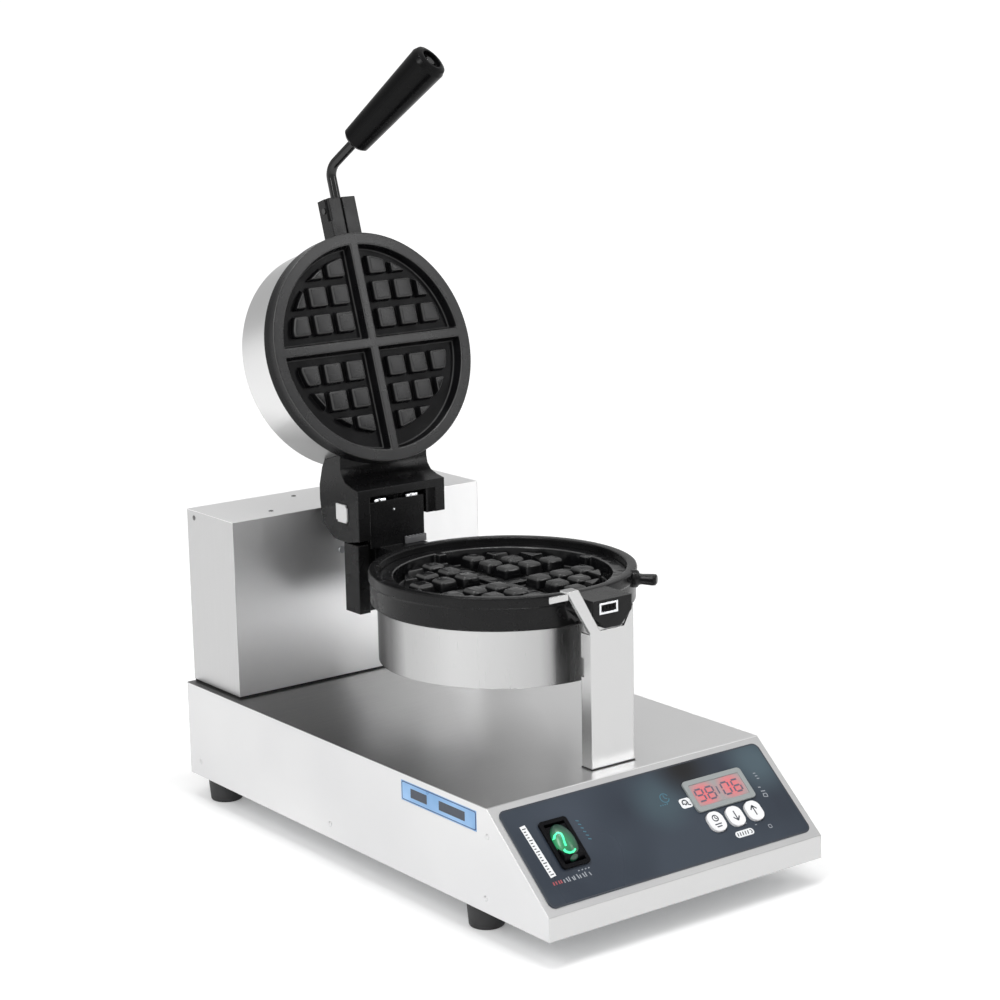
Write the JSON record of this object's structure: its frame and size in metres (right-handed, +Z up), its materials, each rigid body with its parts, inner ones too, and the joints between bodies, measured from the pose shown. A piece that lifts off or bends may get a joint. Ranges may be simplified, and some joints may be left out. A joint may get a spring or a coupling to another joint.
{
  "type": "rotary waffle maker",
  "caption": "Counter-top rotary waffle maker: sloped-front steel base, rear column, round iron on a turning shaft and a hinged lid with a bent handle.",
  "frame": {"origin": "middle of the footprint at the underside of the feet", "axes": "+Z up, +X to the user's right, the control panel faces -Y"},
  "size_m": [0.25, 0.49, 0.5962],
  "materials": {
    "stainless": "brushed along its length, bright",
    "shell_steel": "brushed round the shell",
    "black_casting": "satin black heat-proof coating",
    "black_plate": "dark non-stick coating, soft sheen",
    "rubber": "matt",
    "zinc": "bright zinc",
    "screw_steel": "plated",
    "polished_rod": "polished",
    "overlay": "smooth printed film, dark blue-grey",
    "bezel_grey": "light grey",
    "window": "tinted display window, lit from behind",
    "button_white": "white",
    "switch_black": "black",
    "rocker_green": "dark green, lit",
    "label_blue": "light blue film",
    "board_green": "solder resist",
    "nylon_white": "white nylon",
    "black_plastic": "moulded black",
    "transformer": "varnished core",
    "bearing_grey": "machined",
    "bronze": "sintered bronze",
    "shaft_steel": "turned",
    "heater": "dark sheathed tube",
    "mineral_fibre": "soft mat",
    "grip_black": "satin black heat-proof plastic"
  },
  "bodies": {
    "base": {"base_shell": "stainless", "base_floor": "stainless", "floor_screws": "screw_steel", "front_left_foot": "rubber", "front_right_foot": "rubber", "rear_left_foot": "rubber", "rear_right_foot": "rubber", "foot_screws": "screw_steel", "column_shell": "stainless", "column_back": "stainless", "column_seal": "rubber", "column_screws": "screw_steel", "column_bolts": "screw_steel", "front_rest": "stainless", "rest_screws": "screw_steel", "control_panel": "overlay", "display_bezel": "bezel_grey", "display_window": "window", "switch_bezel": "switch_black", "side_label": "label_blue", "control_board": "board_green", "board_spacers": "nylon_white", "relay": "bearing_grey", "transformer": "transformer", "terminal_block": "nylon_white", "cord_gland": "black_plastic", "front_bearing": "bearing_grey", "front_bush": "bronze", "rear_bearing": "bearing_grey", "rear_bush": "bronze", "bearing_screws": "screw_steel"},
    "head": {"rotary_shaft": "shaft_steel", "stop_collar": "shaft_steel", "hinge_bracket": "black_casting", "wire_duct": "black_casting", "hinge_pin": "screw_steel", "bracket_trim": "zinc", "lower_rim": "black_casting", "lower_plate": "black_plate", "lower_shell": "shell_steel", "lower_heater": "heater", "lower_insulation": "mineral_fibre", "lower_screws": "screw_steel", "rim_peg": "black_plastic", "journal_insert": "zinc"},
    "lid": {"upper_plate": "black_plate", "upper_shell": "shell_steel", "upper_heater": "heater", "upper_insulation": "mineral_fibre", "lid_screws": "screw_steel", "hinge_cover": "black_casting", "cover_plate": "zinc", "handle_block": "black_casting", "handle_rod": "polished_rod", "handle_grip": "grip_black", "handle_screws": "screw_steel"},
    "rocker": {"switch_rocker": "rocker_green"},
    "set_key": {"set_button": "button_white"},
    "down_key": {"down_button": "button_white"},
    "up_key": {"up_button": "button_white"}
  },
  "joints": [
    {"name": "head_turn", "type": "hinge", "parent": "base", "child": "head", "pos_m": [0, 0.155, 0.216], "axis": [0, 1, 0], "range_deg": [-35, 35]},
    {"name": "lid_hinge", "type": "hinge", "parent": "head", "child": "lid", "pos_m": [0, 0.101, 0.232], "axis": [1, 0, 0], "range_deg": [0, 107.5]},
    {"name": "rocker_switch", "type": "hinge", "parent": "base", "child": "rocker", "pos_m": [-0.083, -0.20567, 0.06649], "axis": [1, 0, 0], "range_deg": [0, 16]},
    {"name": "set_press", "type": "slide", "parent": "base", "child": "set_key", "axis": [0, 0.6554, -0.7553], "range_m": [0, 0.001], "stiffness_N_per_m": 800},
    {"name": "down_press", "type": "slide", "parent": "base", "child": "down_key", "axis": [0, 0.6554, -0.7553], "range_m": [0, 0.001], "stiffness_N_per_m": 800},
    {"name": "up_press", "type": "slide", "parent": "base", "child": "up_key", "axis": [0, 0.6554, -0.7553], "range_m": [0, 0.001], "stiffness_N_per_m": 800}
  ]
}
